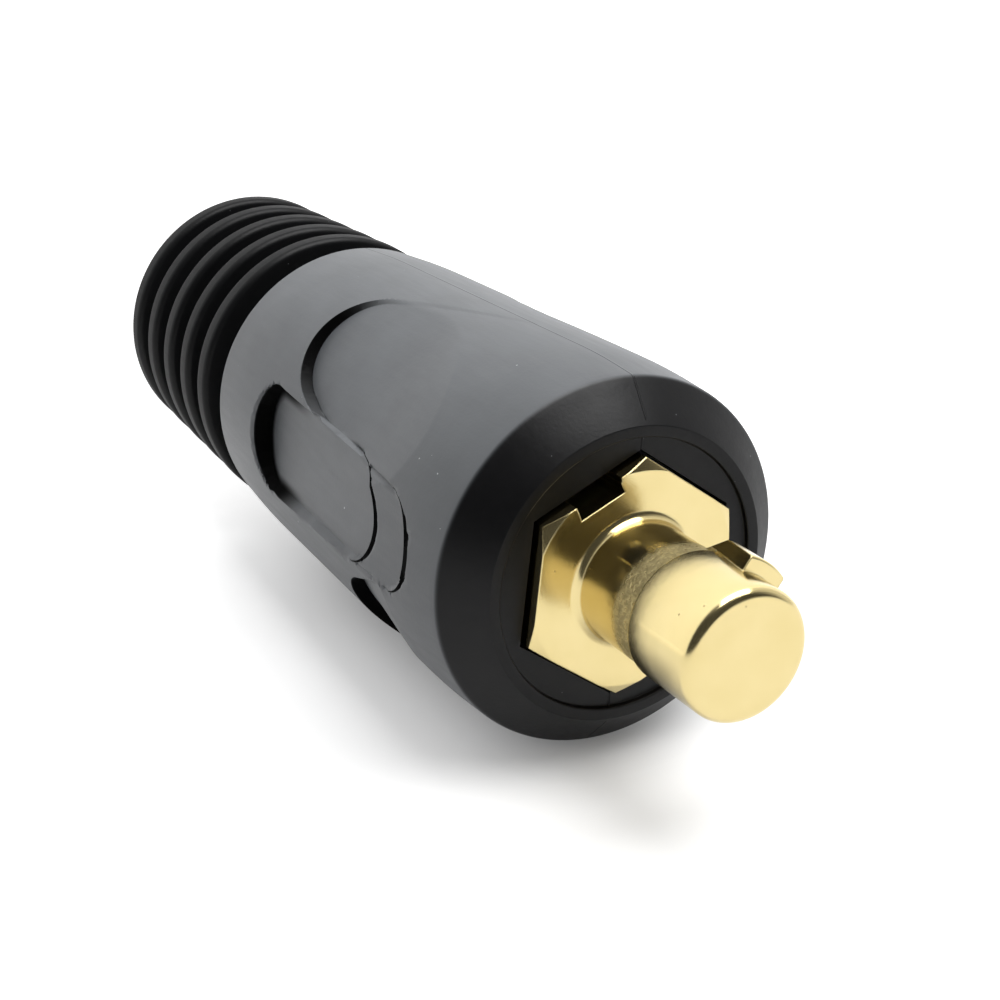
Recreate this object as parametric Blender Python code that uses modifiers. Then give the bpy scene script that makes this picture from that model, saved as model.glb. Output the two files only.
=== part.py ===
"""A welding cable plug: a moulded rubber sleeve over a turned brass contact.

The plug stands on the end of its cable boot, and its axis is Z. Angles round the axis are counted
from the mould's parting line, which faces -Y, towards +X. Lengths are in metres.
"""

import math

import bpy
from mathutils import Matrix, Vector

MM = 0.001
RUNNING_GAP = 0.3 * MM  # between a piece and the seat or bore that holds it
TURN_STEPS = 48
CUT_MARGIN = 2.0 * MM  # how far a cutter runs past the surface that it opens
EDGE_ANGLE_DEG = 28

# Sleeve: boot, grip and nose, from the bottom up
BOOT_LENGTH = 32.8 * MM
GRIP_LENGTH = 57.6 * MM
NOSE_CHAMFER_LENGTH = 3.5 * MM
BOOT_REAR_RADIUS = 16.1 * MM
BOOT_FRONT_RADIUS = 17.2 * MM
BOOT_ROOT_RADIUS = 13.4 * MM
RIB_COUNT = 5
RIB_PITCH = 6.25 * MM
RIB_LAND = 2.5 * MM
RIB_SLOPE = 0.6 * MM
RIB_ROUNDING = 0.7 * MM
GRIP_REAR_RADIUS = 17.0 * MM
GRIP_CROWN_RADIUS = 17.7 * MM
GRIP_CROWN_HEIGHT = 8.0 * MM
GRIP_FRONT_RADIUS = 19.05 * MM
NOSE_SHOULDER_DROP = 0.3 * MM
NOSE_SHOULDER_HEIGHT = 6.0 * MM
NOSE_FRONT_RADIUS = 14.9 * MM
NOSE_RING_WIDTH = 1.2 * MM
NOSE_RING_DEPTH = 0.6 * MM
NOSE_ROUNDING = 0.7 * MM
GRIP_ROUNDING = 0.5 * MM
CABLE_PASSAGE_RADIUS = 7.0 * MM
CABLE_MOUTH_FLARE = 0.8 * MM
POCKET_CLEARANCE = 0.35 * MM

# Thumb scoops: the angle and rear height of each, the upper pair longer than the lower one
SCOOP_REAR_HEIGHTS = {45: 50.0 * MM, 315: 50.0 * MM, 135: 66.4 * MM, 225: 66.4 * MM}
SCOOP_END_HALF_WIDTH = 5.2 * MM
SCOOP_END_ROUNDING = 7.4 * MM
SCOOP_FLARE_DEG = 20
SCOOP_FLOOR_RADIUS = 16.6 * MM
SCOOP_FLOOR_TURN_DEG = 13  # the floors are deepest on the side of the label recesses
SCOOP_AXIS_OFFSET = 9.8 * MM
SCOOP_RISE_START = 62.0 * MM
SCOOP_RISE_END = 88.0 * MM
SCOOP_RISE_STEPS = 8
SCOOP_RUNOUT = 0.4 * MM

# Label recesses: two ovals on the sides whose floor rises forwards, with a shallow step in front
LABEL_ANGLES = (90, 270)
LABEL_REAR_HEIGHT = 44.6 * MM
LABEL_LENGTH = 31.4 * MM
LABEL_REAR_HALF_WIDTH = 6.2 * MM
LABEL_FRONT_HALF_WIDTH = 5.6 * MM
LABEL_REAR_ROUNDING = 4.5 * MM
LABEL_FRONT_ROUNDING = 6.5 * MM
LABEL_REAR_FLOOR = 15.6 * MM
LABEL_FRONT_FLOOR = 17.4 * MM
LEDGE_FRONT_HEIGHT = 84.2 * MM
LEDGE_LENGTH = 16.0 * MM
LEDGE_HALF_WIDTH = 5.2 * MM
LEDGE_FLOOR = 18.2 * MM

# Contact: hexagon flange, neck and bayonet pin in front, cable socket behind
FLANGE_ACROSS_FLATS = 20.8 * MM
FLANGE_THICKNESS = 7.0 * MM
FLANGE_PROUD = 1.0 * MM
FLANGE_FACE_RADIUS = 10.9 * MM
FLANGE_CHAMFER_DEG = 30
SLOT_ANGLE = 30
SLOT_WIDTH = 5.0 * MM
SLOT_FLOOR = 8.85 * MM
NECK_RADIUS = 6.15 * MM
NECK_LENGTH = 9.0 * MM
NECK_FILLET = 0.9 * MM
PIN_RADIUS = 6.5 * MM
PIN_LENGTH = 9.4 * MM
PIN_TIP_ROUNDING = 1.0 * MM
PIN_REAR_BEVEL = 0.15 * MM
NIB_ANGLE = -31
NIB_RADIUS = 8.0 * MM
NIB_LENGTH = 5.2 * MM
NIB_FRONT_WIDTH = 5.0 * MM
NIB_REAR_WIDTH = 3.4 * MM
NIB_RAMP = 2.1 * MM
NIB_EDGE = 0.25 * MM
SOCKET_RADIUS = 9.5 * MM
SOCKET_LENGTH = 33.0 * MM
SOCKET_BEVEL = 0.5 * MM
CABLE_BORE_RADIUS = 5.5 * MM
CABLE_BORE_DEPTH = 27.0 * MM
DRILL_POINT_DEG = 59

# Clamp screws: hexagon-socket set screws in the side of the cable socket
SCREW_RADIUS = 4.0 * MM
SCREW_LENGTH = 6.0 * MM
SCREW_BEVEL = 0.5 * MM
SCREW_SUNK = 0.7 * MM
SCREW_KEY_ACROSS_FLATS = 4.0 * MM
SCREW_KEY_DEPTH = 3.0 * MM
SCREW_REAR_FROM_MOUTH = 8.0 * MM
SCREW_SPACING = 11.0 * MM
SCREW_ANGLE = 0

# Heights that follow from the sizes above
SLEEVE_LENGTH = BOOT_LENGTH + GRIP_LENGTH + NOSE_CHAMFER_LENGTH
SHOULDER_HEIGHT = BOOT_LENGTH + GRIP_LENGTH
NOSE_SHOULDER_RADIUS = GRIP_FRONT_RADIUS - NOSE_SHOULDER_DROP
WIDEST_RADIUS = max(GRIP_FRONT_RADIUS, GRIP_CROWN_RADIUS, GRIP_REAR_RADIUS)
NOSE_FACE_HEIGHT = SLEEVE_LENGTH - NOSE_RING_DEPTH
FLANGE_FRONT = SLEEVE_LENGTH + FLANGE_PROUD
FLANGE_REAR = FLANGE_FRONT - FLANGE_THICKNESS
PIN_REAR = FLANGE_FRONT + NECK_LENGTH
PIN_TIP = PIN_REAR + PIN_LENGTH
SOCKET_MOUTH = FLANGE_REAR - SOCKET_LENGTH
SLEEVE_BORE_RADIUS = SOCKET_RADIUS + RUNNING_GAP
FLANGE_BLANK_RADIUS = FLANGE_ACROSS_FLATS / math.sqrt(3) + 0.5 * MM


def clear_scene():
    for old in list(bpy.data.objects):
        bpy.data.objects.remove(old, do_unlink=True)


def new_collection(name, is_helper=False):
    made = bpy.data.collections.new(name)
    made.hide_render = is_helper
    bpy.context.scene.collection.children.link(made)
    return made


def principled(name, colour, roughness, metallic):
    made = bpy.data.materials.new(name)
    made.use_nodes = True
    shader = made.node_tree.nodes["Principled BSDF"]
    shader.inputs["Base Color"].default_value = (*colour, 1.0)
    shader.inputs["Roughness"].default_value = roughness
    shader.inputs["Metallic"].default_value = metallic
    made.diffuse_color = (*colour, 1.0)
    return made


def facing(degrees):
    """Turns local X, Y and Z to round the plug, up the plug and out from its axis at this angle."""
    angle = math.radians(degrees)
    outward = Vector((math.sin(angle), -math.cos(angle), 0))
    up = Vector((0, 0, 1))
    around = up.cross(outward)
    return Matrix((around, up, outward)).transposed().to_4x4()


def rounded(corners, steps):
    """The outline through (x, y, rounding) corners, with each rounding as an arc."""
    points = []
    count = len(corners)
    for i, (x, y, radius) in enumerate(corners):
        corner = Vector((x, y))
        if radius == 0:
            points.append(corner)
            continue
        before = (Vector(corners[i - 1][:2]) - corner).normalized()
        after = (Vector(corners[(i + 1) % count][:2]) - corner).normalized()
        half = before.angle(after) / 2
        start = corner + before * (radius / math.tan(half))
        end = corner + after * (radius / math.tan(half))
        centre = corner + (before + after).normalized() * (radius / math.sin(half))
        for k in range(steps + 1):
            arm = start.lerp(end, k / steps) - centre
            points.append(centre + arm.normalized() * radius)
    return points


def link(name, mesh, collection, material=None):
    made = bpy.data.objects.new(name, mesh)
    collection.objects.link(made)
    if material:
        mesh.materials.append(material)
    return made


def turned(name, outline, collection, material=None, closed=False, steps=TURN_STEPS):
    """A solid turned round Z from (radius, height) points that run down its outer side."""
    edges = [(i, i + 1) for i in range(len(outline) - 1)]
    if closed:
        edges.append((len(outline) - 1, 0))
    mesh = bpy.data.meshes.new(name)
    mesh.from_pydata([(x, 0, z) for x, z in outline], edges, [])
    made = link(name, mesh, collection, material)
    screw = made.modifiers.new("Turn", "SCREW")
    screw.steps = steps
    screw.render_steps = steps
    screw.use_merge_vertices = True
    screw.merge_threshold = 0.00001
    screw.use_smooth_shade = True
    return made


def prism(name, across_flats, bottom, top, collection):
    """A hexagon bar along Z, with two corners on Y."""
    bpy.ops.mesh.primitive_cylinder_add(
        vertices=6,
        radius=across_flats / math.sqrt(3),
        depth=top - bottom,
        location=(0, 0, (top + bottom) / 2),
    )
    made = bpy.context.object
    made.name = name
    for old in list(made.users_collection):
        old.objects.unlink(made)
    collection.objects.link(made)
    return made


def plate(name, outline, inner, outer, degrees, collection):
    """A flat outline (round the plug, height), cut out radially from inner to outer."""
    curve = bpy.data.curves.new(name, "CURVE")
    curve.dimensions = "2D"
    curve.fill_mode = "BOTH"
    curve.extrude = (outer - inner) / 2
    spline = curve.splines.new("POLY")
    spline.points.add(len(outline) - 1)
    for point, (x, y) in zip(spline.points, outline):
        point.co = (x, y, 0, 1)
    spline.use_cyclic_u = True
    flat = bpy.data.objects.new(name, curve)
    collection.objects.link(flat)
    bpy.context.view_layer.update()
    graph = bpy.context.evaluated_depsgraph_get()
    mesh = bpy.data.meshes.new_from_object(flat.evaluated_get(graph))
    bpy.data.objects.remove(flat)
    made = link(name, mesh, collection)
    made.matrix_world = facing(degrees) @ Matrix.Translation((0, 0, (inner + outer) / 2))
    weld = made.modifiers.new("Close the caps", "WELD")
    weld.merge_threshold = 0.00001
    return made


def combine(target, other, operation):
    """Cuts, joins or keeps what is common, with the other object left as a hidden helper."""
    step = target.modifiers.new(f"{operation.title()} {other.name}", "BOOLEAN")
    step.object = other
    step.operation = operation
    step.solver = "EXACT"
    other.hide_render = True
    other.display_type = "WIRE"


def finish(piece):
    """Carries out a piece's cuts and shades it smooth, with its true edges kept sharp."""
    bpy.context.view_layer.update()
    graph = bpy.context.evaluated_depsgraph_get()
    mesh = bpy.data.meshes.new_from_object(piece.evaluated_get(graph))
    mesh.name = piece.name
    piece.modifiers.clear()
    piece.data = mesh
    mesh.shade_smooth()
    mesh.set_sharp_from_angle(angle=math.radians(EDGE_ANGLE_DEG))


def rib_radius(height):
    """The ribs grow a little from the boot's end to the grip."""
    share = height / BOOT_LENGTH
    return BOOT_REAR_RADIUS + share * (BOOT_FRONT_RADIUS - BOOT_REAR_RADIUS)


def boot_corners():
    """The ribbed side of the boot, from the grip down to the boot's end face."""
    corners = [(BOOT_ROOT_RADIUS, BOOT_LENGTH, 0)]
    half_land = RIB_LAND / 2
    first = half_land + RIB_ROUNDING / 2
    for i in reversed(range(RIB_COUNT)):
        middle = first + i * RIB_PITCH
        crest = rib_radius(middle)
        top = middle + half_land
        bottom = middle - half_land
        corners.append((BOOT_ROOT_RADIUS, top + RIB_SLOPE, 0))
        corners.append((crest, top, RIB_ROUNDING))
        if i > 0:
            corners.append((crest, bottom, RIB_ROUNDING))
            corners.append((BOOT_ROOT_RADIUS, bottom - RIB_SLOPE, 0))
        else:
            corners.append((crest, 0, RIB_ROUNDING))
    return corners


def sleeve_outline():
    """Half the sleeve's section: nose face, down the outside, and back up through the bore."""
    ring_inner = NOSE_FRONT_RADIUS - NOSE_RING_WIDTH
    shoulder_start = SHOULDER_HEIGHT - NOSE_SHOULDER_HEIGHT
    outside = [
        (SLEEVE_BORE_RADIUS, NOSE_FACE_HEIGHT, 0),
        (ring_inner, NOSE_FACE_HEIGHT, 0),
        (ring_inner, SLEEVE_LENGTH, 0),
        (NOSE_FRONT_RADIUS, SLEEVE_LENGTH, 0),
        (NOSE_SHOULDER_RADIUS, SHOULDER_HEIGHT, NOSE_ROUNDING),
        (GRIP_FRONT_RADIUS, shoulder_start, 0),
        (GRIP_CROWN_RADIUS, BOOT_LENGTH + GRIP_CROWN_HEIGHT, 0),
        (GRIP_REAR_RADIUS, BOOT_LENGTH, GRIP_ROUNDING),
    ]
    bore_floor = SOCKET_MOUTH - RUNNING_GAP
    step = SLEEVE_BORE_RADIUS - CABLE_PASSAGE_RADIUS
    inside = [
        (CABLE_PASSAGE_RADIUS + CABLE_MOUTH_FLARE, 0, 0),
        (CABLE_PASSAGE_RADIUS, CABLE_MOUTH_FLARE, 0),
        (CABLE_PASSAGE_RADIUS, bore_floor - step, 0),
        (SLEEVE_BORE_RADIUS, bore_floor, 0),
    ]
    return rounded(outside + boot_corners() + inside, steps=2)


def scoop_outline(rear):
    """Seen from outside: a rounded end at this rear height, with sides that flare forwards."""
    top = SLEEVE_LENGTH + CUT_MARGIN
    front = SCOOP_END_HALF_WIDTH + (top - rear) * math.tan(math.radians(SCOOP_FLARE_DEG))
    corners = [
        (front, top, 0),
        (-front, top, 0),
        (-SCOOP_END_HALF_WIDTH, rear, SCOOP_END_ROUNDING),
        (SCOOP_END_HALF_WIDTH, rear, SCOOP_END_ROUNDING),
    ]
    return rounded(corners, steps=6)


def scoop_floor_outline(rear):
    """The floor's section: level at the rear, then rising in a smooth wave to the grip's front."""
    low = SCOOP_FLOOR_RADIUS + SCOOP_AXIS_OFFSET
    high = GRIP_FRONT_RADIUS + SCOOP_AXIS_OFFSET + SCOOP_RUNOUT
    top = SLEEVE_LENGTH + 2 * CUT_MARGIN
    points = [(0, top), (high, top)]
    for i in reversed(range(SCOOP_RISE_STEPS + 1)):
        share = i / SCOOP_RISE_STEPS
        height = SCOOP_RISE_START + share * (SCOOP_RISE_END - SCOOP_RISE_START)
        lift = (1 - math.cos(math.pi * share)) / 2
        points.append((low + lift * (high - low), height))
    bottom = min(rear, SCOOP_RISE_START) - CUT_MARGIN
    return points + [(low, bottom), (0, bottom)]


def add_scoop(sleeve, degrees, rear, helpers):
    outer = WIDEST_RADIUS + CUT_MARGIN
    inner = BOOT_ROOT_RADIUS - CUT_MARGIN
    scoop = plate(f"scoop_{degrees}", scoop_outline(rear), inner, outer, degrees, helpers)
    floor = turned(f"scoop_floor_{degrees}", scoop_floor_outline(rear), helpers)
    turn = SCOOP_FLOOR_TURN_DEG if degrees % 180 < 90 else -SCOOP_FLOOR_TURN_DEG
    floor.location = facing(degrees + turn) @ Vector((0, 0, -SCOOP_AXIS_OFFSET))
    combine(scoop, floor, "DIFFERENCE")
    combine(sleeve, scoop, "DIFFERENCE")


def oval(rear, front, rear_half_width, front_half_width, rear_rounding, front_rounding):
    """A long oval between two heights, with half an ellipse at each end."""
    count = 8
    points = []
    for i in range(count + 1):
        angle = math.pi * i / count
        x = front_half_width * math.cos(angle)
        points.append((x, front + front_rounding * (math.sin(angle) - 1)))
    for i in range(count + 1):
        angle = math.pi * i / count
        x = -rear_half_width * math.cos(angle)
        points.append((x, rear - rear_rounding * (math.sin(angle) - 1)))
    return points


def add_label_recess(sleeve, degrees, helpers):
    outer = WIDEST_RADIUS + CUT_MARGIN
    main = oval(
        LABEL_REAR_HEIGHT,
        LABEL_REAR_HEIGHT + LABEL_LENGTH,
        LABEL_REAR_HALF_WIDTH,
        LABEL_FRONT_HALF_WIDTH,
        LABEL_REAR_ROUNDING,
        LABEL_FRONT_ROUNDING,
    )
    ledge = oval(
        LEDGE_FRONT_HEIGHT - LEDGE_LENGTH,
        LEDGE_FRONT_HEIGHT,
        LEDGE_HALF_WIDTH,
        LEDGE_HALF_WIDTH,
        LEDGE_HALF_WIDTH,
        LEDGE_HALF_WIDTH,
    )
    ledge_cut = plate(f"ledge_{degrees}", ledge, LEDGE_FLOOR, outer, degrees, helpers)
    deep = outer + CUT_MARGIN
    main_cut = plate(f"label_{degrees}", main, LABEL_REAR_FLOOR, deep, degrees, helpers)
    slope = math.atan((LABEL_FRONT_FLOOR - LABEL_REAR_FLOOR) / LABEL_LENGTH)
    pivot = Matrix.Translation((0, LABEL_REAR_HEIGHT, LABEL_REAR_FLOOR))
    lean = pivot @ Matrix.Rotation(slope, 4, "X") @ pivot.inverted()
    side = facing(degrees)
    main_cut.matrix_world = side @ lean @ side.inverted() @ main_cut.matrix_world
    combine(sleeve, ledge_cut, "DIFFERENCE")
    combine(sleeve, main_cut, "DIFFERENCE")


def make_sleeve(parts, helpers, rubber):
    sleeve = turned("rubber_sleeve", sleeve_outline(), parts, rubber, closed=True)
    for degrees, rear in SCOOP_REAR_HEIGHTS.items():
        add_scoop(sleeve, degrees, rear, helpers)
    for degrees in LABEL_ANGLES:
        add_label_recess(sleeve, degrees, helpers)
    pocket = prism(
        "flange_pocket",
        FLANGE_ACROSS_FLATS + 2 * POCKET_CLEARANCE,
        FLANGE_REAR - RUNNING_GAP,
        SLEEVE_LENGTH + CUT_MARGIN,
        helpers,
    )
    combine(sleeve, pocket, "DIFFERENCE")
    return sleeve


def contact_outline():
    """Half the contact's section as turned: tip, pin, neck, round flange, socket and cable bore."""
    point = CABLE_BORE_RADIUS / math.tan(math.radians(DRILL_POINT_DEG))
    bore_end = SOCKET_MOUTH + CABLE_BORE_DEPTH
    chamfer_width = FLANGE_BLANK_RADIUS - FLANGE_FACE_RADIUS
    chamfer_drop = chamfer_width * math.tan(math.radians(FLANGE_CHAMFER_DEG))
    corners = [
        (0, PIN_TIP, 0),
        (PIN_RADIUS, PIN_TIP, PIN_TIP_ROUNDING),
        (PIN_RADIUS, PIN_REAR + PIN_REAR_BEVEL, 0),
        (PIN_RADIUS - PIN_REAR_BEVEL, PIN_REAR, 0),
        (NECK_RADIUS, PIN_REAR, 0),
        (NECK_RADIUS, FLANGE_FRONT, NECK_FILLET),
        (FLANGE_FACE_RADIUS, FLANGE_FRONT, 0),
        (FLANGE_BLANK_RADIUS, FLANGE_FRONT - chamfer_drop, 0),
        (FLANGE_BLANK_RADIUS, FLANGE_REAR, 0),
        (SOCKET_RADIUS, FLANGE_REAR, 0),
        (SOCKET_RADIUS, SOCKET_MOUTH + SOCKET_BEVEL, 0),
        (SOCKET_RADIUS - SOCKET_BEVEL, SOCKET_MOUTH, 0),
        (CABLE_BORE_RADIUS + SOCKET_BEVEL, SOCKET_MOUTH, 0),
        (CABLE_BORE_RADIUS, SOCKET_MOUTH + SOCKET_BEVEL, 0),
        (CABLE_BORE_RADIUS, bore_end, 0),
        (0, bore_end + point, 0),
    ]
    return rounded(corners, steps=4)


def cut_flats(contact, helpers):
    """The flange's six flats: a ring with a hexagon hole takes away what is outside them."""
    bottom = FLANGE_REAR - CUT_MARGIN
    top = FLANGE_FRONT + CUT_MARGIN
    outer = FLANGE_BLANK_RADIUS + CUT_MARGIN
    outline = [(0, top), (outer, top), (outer, bottom), (0, bottom)]
    ring = turned("flats_ring", outline, helpers)
    hole = prism(
        "flats_hole", FLANGE_ACROSS_FLATS, bottom - CUT_MARGIN, top + CUT_MARGIN, helpers
    )
    combine(ring, hole, "DIFFERENCE")
    combine(contact, ring, "DIFFERENCE")


def nib_outline():
    """Seen from outside: parallel to the axis on one side, slanting in towards the neck on the other."""
    front = PIN_REAR + NIB_LENGTH + CUT_MARGIN
    rear = PIN_REAR - NIB_RAMP - CUT_MARGIN
    side = NIB_FRONT_WIDTH / 2
    slant = side - NIB_FRONT_WIDTH + NIB_REAR_WIDTH
    return [(side, front), (-side, front), (-side, rear), (slant, rear)]


def add_nib(contact, helpers):
    """The bayonet nib: a radial block, trimmed by a turned shape that gives its top, ramp and front."""
    block = plate(
        "nib_block",
        nib_outline(),
        NECK_RADIUS / 2,
        NIB_RADIUS + CUT_MARGIN,
        NIB_ANGLE,
        helpers,
    )
    front = PIN_REAR + NIB_LENGTH
    trim = turned(
        "nib_trim",
        [
            (0, front),
            (NIB_RADIUS - NIB_EDGE, front),
            (NIB_RADIUS, front - NIB_EDGE),
            (NIB_RADIUS, PIN_REAR),
            (NECK_RADIUS - NIB_EDGE, PIN_REAR - NIB_RAMP),
            (0, PIN_REAR - NIB_RAMP),
        ],
        helpers,
    )
    combine(block, trim, "INTERSECT")
    combine(contact, block, "UNION")


def add_key_slot(contact, helpers):
    half = SLOT_WIDTH / 2
    low = FLANGE_REAR - CUT_MARGIN
    high = FLANGE_FRONT + CUT_MARGIN
    outline = [(half, high), (-half, high), (-half, low), (half, low)]
    reach = FLANGE_ACROSS_FLATS / 2 + CUT_MARGIN
    slot = plate("key_slot", outline, SLOT_FLOOR, reach, SLOT_ANGLE, helpers)
    combine(contact, slot, "DIFFERENCE")


def screw_heights():
    rear = SOCKET_MOUTH + SCREW_REAR_FROM_MOUTH
    return {"clamp_screw_rear": rear, "clamp_screw_front": rear + SCREW_SPACING}


def add_screw_hole(contact, name, height, helpers):
    radius = SCREW_RADIUS + RUNNING_GAP
    reach = SOCKET_RADIUS + CUT_MARGIN
    hole = turned(
        f"hole_{name}", [(0, reach), (radius, reach), (radius, 0), (0, 0)], helpers, steps=24
    )
    hole.matrix_world = Matrix.Translation((0, 0, height)) @ facing(SCREW_ANGLE)
    combine(contact, hole, "DIFFERENCE")


def make_contact(parts, helpers, brass):
    contact = turned("brass_contact", contact_outline(), parts, brass)
    cut_flats(contact, helpers)
    add_nib(contact, helpers)
    add_key_slot(contact, helpers)
    for name, height in screw_heights().items():
        add_screw_hole(contact, name, height, helpers)
    return contact


def make_clamp_screw(name, height, parts, helpers, steel):
    """A set screw whose origin lies on its own axis, at its flat inner end."""
    inner_end = SOCKET_RADIUS - SCREW_SUNK - SCREW_LENGTH
    edge = SCREW_RADIUS - SCREW_BEVEL
    outline = [
        (0, SCREW_LENGTH),
        (edge, SCREW_LENGTH),
        (SCREW_RADIUS, SCREW_LENGTH - SCREW_BEVEL),
        (SCREW_RADIUS, SCREW_BEVEL),
        (edge, 0),
        (0, 0),
    ]
    screw = turned(name, outline, parts, steel, steps=24)
    place = Matrix.Translation((0, 0, height)) @ facing(SCREW_ANGLE)
    screw.matrix_world = place @ Matrix.Translation((0, 0, inner_end))
    key = prism(
        f"key_{name}",
        SCREW_KEY_ACROSS_FLATS,
        SCREW_LENGTH - SCREW_KEY_DEPTH,
        SCREW_LENGTH + CUT_MARGIN,
        helpers,
    )
    key.matrix_world = screw.matrix_world @ key.matrix_world
    combine(screw, key, "DIFFERENCE")
    return screw


def main():
    clear_scene()
    parts = new_collection("welding_cable_plug")
    helpers = new_collection("cutters", is_helper=True)
    rubber = principled("black_rubber", (0.045, 0.047, 0.052), 0.55, 0.0)
    brass = principled("gold_brass", (0.86, 0.66, 0.29), 0.22, 1.0)
    steel = principled("blackened_steel", (0.09, 0.09, 0.095), 0.4, 1.0)
    sleeve = make_sleeve(parts, helpers, rubber)
    contact = make_contact(parts, helpers, brass)
    finish(sleeve)
    finish(contact)
    for name, height in screw_heights().items():
        screw = make_clamp_screw(name, height, parts, helpers, steel)
        finish(screw)
        screw.parent = contact


main()
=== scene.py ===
# %% [markdown]
# A welding cable plug: a moulded rubber sleeve over a turned brass contact.
# The solids of the plug are already modelled. This lesson gives them their fine surface: it loads the
# solids, makes one finished piece for each of them in the same place, and stands them in soft light.

# %% Load the solids
import math
from collections import namedtuple

import bmesh
import bpy
from mathutils import Matrix, Vector


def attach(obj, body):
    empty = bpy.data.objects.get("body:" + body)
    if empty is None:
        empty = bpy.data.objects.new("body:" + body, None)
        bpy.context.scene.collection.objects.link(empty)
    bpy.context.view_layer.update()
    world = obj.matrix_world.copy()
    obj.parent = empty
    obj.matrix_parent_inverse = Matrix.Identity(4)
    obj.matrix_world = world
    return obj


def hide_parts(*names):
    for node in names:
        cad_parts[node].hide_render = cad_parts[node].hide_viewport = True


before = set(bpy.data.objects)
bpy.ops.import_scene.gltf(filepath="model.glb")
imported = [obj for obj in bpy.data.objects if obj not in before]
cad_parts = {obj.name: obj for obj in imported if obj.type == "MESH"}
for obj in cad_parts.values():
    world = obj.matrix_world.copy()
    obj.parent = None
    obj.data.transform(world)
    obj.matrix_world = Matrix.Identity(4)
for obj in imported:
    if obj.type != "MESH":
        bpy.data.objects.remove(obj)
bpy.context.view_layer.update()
MM = 0.001

# %% [markdown]
# The camera is worked out from the photo: five circles of the plug (pin, nose rim, chamfer, grip and
# boot end) fix where it stood. It is written as a place and two directions, so that no angle is
# rounded. The second direction is made square to the first.

# %% Camera
def add_object(name, data):
    """Puts a new object with this data into the scene."""
    made = bpy.data.objects.new(name, data)
    bpy.context.scene.collection.objects.link(made)
    return made


CAMERA_PLACE = Vector((0.1019, -0.0678, 0.2379))
LOOK = Vector((-0.4880, 0.3306, -0.8082)).normalized()
ABOUT_RIGHT = Vector((-0.8693, -0.1003, 0.4838))
RIGHT = (ABOUT_RIGHT - LOOK * ABOUT_RIGHT.dot(LOOK)).normalized()
UP = RIGHT.cross(LOOK)

lens = bpy.data.cameras.new("photo camera")
lens.lens = 72
lens.sensor_width = 36
lens.clip_start = 0.001
camera = add_object("photo camera", lens)
turn = Matrix((RIGHT, UP, -LOOK)).transposed().to_4x4()
camera.matrix_world = Matrix.Translation(CAMERA_PLACE) @ turn
bpy.context.scene.camera = camera
print("camera looks along", [round(v, 3) for v in LOOK])

# %% [markdown]
# Node trees are easier to read as sums. A Wire is one socket, and + - * / on it add Math nodes.
# A Tree adds any other node: its settings first, then the values or wires of its sockets. A list of
# wires goes to a socket that takes several, and a list of outputs gives back a list of wires.
# The same two classes write shader trees and geometry trees, because both know the Math node.

# %% Wires and trees
class Wire:
    def __init__(self, tree, socket):
        self.tree = tree
        self.socket = socket

    def __add__(self, other):
        return self.tree.math("ADD", self, other)

    def __radd__(self, other):
        return self.tree.math("ADD", other, self)

    def __sub__(self, other):
        return self.tree.math("SUBTRACT", self, other)

    def __rsub__(self, other):
        return self.tree.math("SUBTRACT", other, self)

    def __mul__(self, other):
        return self.tree.math("MULTIPLY", self, other)

    def __rmul__(self, other):
        return self.tree.math("MULTIPLY", other, self)

    def __truediv__(self, other):
        return self.tree.math("DIVIDE", self, other)

    def __rtruediv__(self, other):
        return self.tree.math("DIVIDE", other, self)

    def __gt__(self, other):
        return self.tree.math("GREATER_THAN", self, other)

    def __lt__(self, other):
        return self.tree.math("LESS_THAN", self, other)

    def __abs__(self):
        return self.tree.math("ABSOLUTE", self)


class Tree:
    def __init__(self, nodes_and_links):
        self.data = nodes_and_links

    def feed(self, socket, value):
        if isinstance(value, list):
            for wire in value:
                self.feed(socket, wire)
        elif isinstance(value, Wire):
            self.data.links.new(value.socket, socket)
        else:
            socket.default_value = value

    def add(self, kind, settings=None, inputs=None, out=0):
        node = self.data.nodes.new(kind)
        for name, value in (settings or {}).items():
            setattr(node, name, value)
        for key, value in (inputs or {}).items():
            self.feed(node.inputs[key], value)
        if isinstance(out, list):
            return [Wire(self, node.outputs[key]) for key in out]
        return Wire(self, node.outputs[out]) if len(node.outputs) else node

    def math(self, operation, *values):
        return self.add("ShaderNodeMath", {"operation": operation}, dict(enumerate(values)))

    def least(self, first, second):
        return self.math("MINIMUM", first, second)

    def most(self, first, second):
        return self.math("MAXIMUM", first, second)

    def clamp(self, value):
        return self.least(self.most(value, 0.0), 1.0)

    def ease(self, value):
        """0 below 0, 1 above 1, and a smooth S between them."""
        share = self.clamp(value)
        return share * share * (3.0 - 2.0 * share)

    def blend(self, first, second, share):
        """From the first number to the second."""
        return first + share * (second - first)

    def split(self, vector):
        return self.add("ShaderNodeSeparateXYZ", None, {0: vector}, out=[0, 1, 2])

    def join(self, x, y, z):
        return self.add("ShaderNodeCombineXYZ", None, {0: x, 1: y, 2: z})

    def length(self, x, y):
        return self.math("SQRT", x * x + y * y)

    def colour_mix(self, first, second, share):
        inputs = {0: share, 6: first, 7: second}
        return self.add("ShaderNodeMix", {"data_type": "RGBA"}, inputs, out=2)

    def noise(self, where, scale, detail=2.0, roughness=0.5):
        inputs = {"Vector": where, "Scale": scale, "Detail": detail, "Roughness": roughness}
        return self.add("ShaderNodeTexNoise", None, inputs)


print("wires and trees are ready")

# %% [markdown]
# A material is a small tree of its own. One helper opens it, one ends it, and a third scatters specks
# over a surface, which are dust on rubber and pits in brass. A fourth gives a shader its bump: heights
# are in mm, and nothing higher than 0.1 mm is left to bump.

# %% Materials and specks
def new_material(name):
    made = bpy.data.materials.new(name)
    made.use_nodes = True
    made.node_tree.nodes.clear()
    return made, Tree(made.node_tree)


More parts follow.
